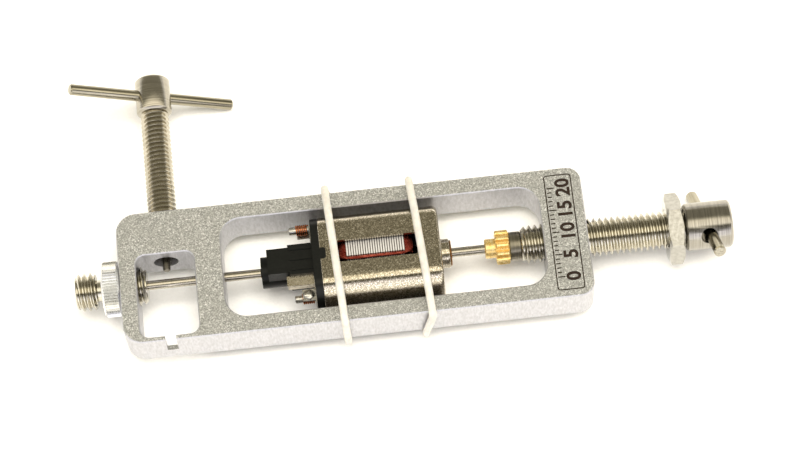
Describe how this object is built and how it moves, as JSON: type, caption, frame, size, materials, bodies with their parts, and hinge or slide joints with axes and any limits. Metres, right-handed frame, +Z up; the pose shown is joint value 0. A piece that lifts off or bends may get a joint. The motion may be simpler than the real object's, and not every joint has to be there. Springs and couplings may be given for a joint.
{
  "type": "pinion press and puller",
  "caption": "Hand-held screw press and puller for small motor pinions: a milled frame with a press screw, a puller screw and an anvil screw, holding a small motor with elastic bands.",
  "frame": {"origin": "where the press screw's axis leaves the frame's end face", "axes": "+X along the press screw towards its head, +Y towards the puller screw's head, +Z up out of the frame's top face"},
  "size_m": [0.1378, 0.0634, 0.0188],
  "materials": {
    "bead_blasted_aluminium": "bead-blasted, tumbled, with bright broken edges",
    "stainless_steel": "turned stainless steel, bright",
    "hardened_steel": "hardened and turned steel",
    "ground_bar": "centreless ground steel bar",
    "nickel_plated_nut": "nickel-plated steel nut",
    "knurled_nut": "knurled, bright zinc-nickel finish",
    "nickel_plated_can": "deep-drawn steel, nickel plated, satin",
    "black_nylon": "moulded black nylon",
    "sintered_bronze": "oil-soaked sintered bronze",
    "ferrite": "ground ferrite magnet",
    "electrical_steel": "stamped electrical steel sheets",
    "enamelled_copper": "red enamelled copper wire",
    "copper": "turned copper segments",
    "fibre": "phenolic fibre",
    "yellow_brass": "machined brass, bright",
    "carbon": "copper-graphite brush",
    "terminal_sheet": "nickel-plated sheet",
    "tinned_sheet": "solder-dipped sheet",
    "clear_silicone": "milky translucent silicone"
  },
  "bodies": {
    "frame": {"frame": "bead_blasted_aluminium", "motor_can": "nickel_plated_can", "motor_endbell": "black_nylon", "bearing_front": "sintered_bronze", "bearing_rear": "sintered_bronze", "magnet_back": "ferrite", "magnet_front": "ferrite", "brush_back": "carbon", "brush_front": "carbon", "brush_holder_back": "terminal_sheet", "brush_holder_front": "terminal_sheet", "terminal_back": "tinned_sheet", "terminal_front": "tinned_sheet", "choke_core_back": "tinned_sheet", "choke_core_front": "tinned_sheet", "choke_coil_back": "enamelled_copper", "choke_coil_front": "enamelled_copper", "band_left": "clear_silicone", "band_right": "clear_silicone"},
    "press_pad": {"press_pad": "hardened_steel"},
    "press_screw": {"press_screw": "stainless_steel"},
    "press_bar": {"press_tommy_bar": "ground_bar"},
    "lock_nut": {"lock_nut": "nickel_plated_nut"},
    "puller_pin": {"puller_pin": "hardened_steel"},
    "puller_screw": {"puller_screw": "stainless_steel", "puller_tommy_bar": "ground_bar"},
    "anvil_pin": {"anvil_pin": "ground_bar"},
    "anvil_screw": {"anvil_screw": "stainless_steel"},
    "thumb_nut": {"thumb_nut": "knurled_nut"},
    "rotor": {"rotor_shaft": "ground_bar", "laminations": "electrical_steel", "windings": "enamelled_copper", "commutator": "copper", "washer_front": "fibre", "washer_rear": "fibre", "pinion": "yellow_brass"}
  },
  "joints": [
    {"name": "press_travel", "type": "slide", "parent": "frame", "child": "press_pad", "axis": [1, 0, 0], "range_m": [0, 0.00625]},
    {"name": "press_turn", "type": "hinge", "parent": "press_pad", "child": "press_screw", "pos_m": [0, 0, 0], "axis": [1, 0, 0], "range_deg": [0, 1800.1]},
    {"name": "press_bar_slide", "type": "slide", "parent": "press_screw", "child": "press_bar", "axis": [0.0958, -0.779, 0.6196], "range_m": [-0.006, 0.006]},
    {"name": "lock_nut_travel", "type": "slide", "parent": "press_screw", "child": "lock_nut", "axis": [1, 0, 0], "range_m": [-0.0165, 0]},
    {"name": "puller_travel", "type": "slide", "parent": "frame", "child": "puller_pin", "axis": [0, 1, 0], "range_m": [-0.0015, 0.006]},
    {"name": "puller_turn", "type": "hinge", "parent": "puller_pin", "child": "puller_screw", "pos_m": [-0.08825, 0, 0], "axis": [0, 1, 0], "range_deg": [-540.1, 2160.1]},
    {"name": "anvil_travel", "type": "slide", "parent": "frame", "child": "anvil_pin", "axis": [1, 0, 0], "range_m": [-0.00375, 0]},
    {"name": "anvil_turn", "type": "hinge", "parent": "anvil_pin", "child": "anvil_screw", "pos_m": [0, 0, 0], "axis": [1, 0, 0], "range_deg": [-1080.1, 0]},
    {"name": "thumb_nut_travel", "type": "slide", "parent": "anvil_screw", "child": "thumb_nut", "axis": [1, 0, 0], "range_m": [-0.001, 0]},
    {"name": "rotor_spin", "type": "hinge", "parent": "frame", "child": "rotor", "pos_m": [0, 0, 0], "axis": [1, 0, 0], "continuous": true}
  ],
  "couplings": [
    {"joint": "press_turn", "follows": "press_travel", "rad_per_m": 5026.5},
    {"joint": "puller_turn", "follows": "puller_travel", "rad_per_m": 6283.2},
    {"joint": "anvil_turn", "follows": "anvil_travel", "rad_per_m": 5026.5}
  ]
}
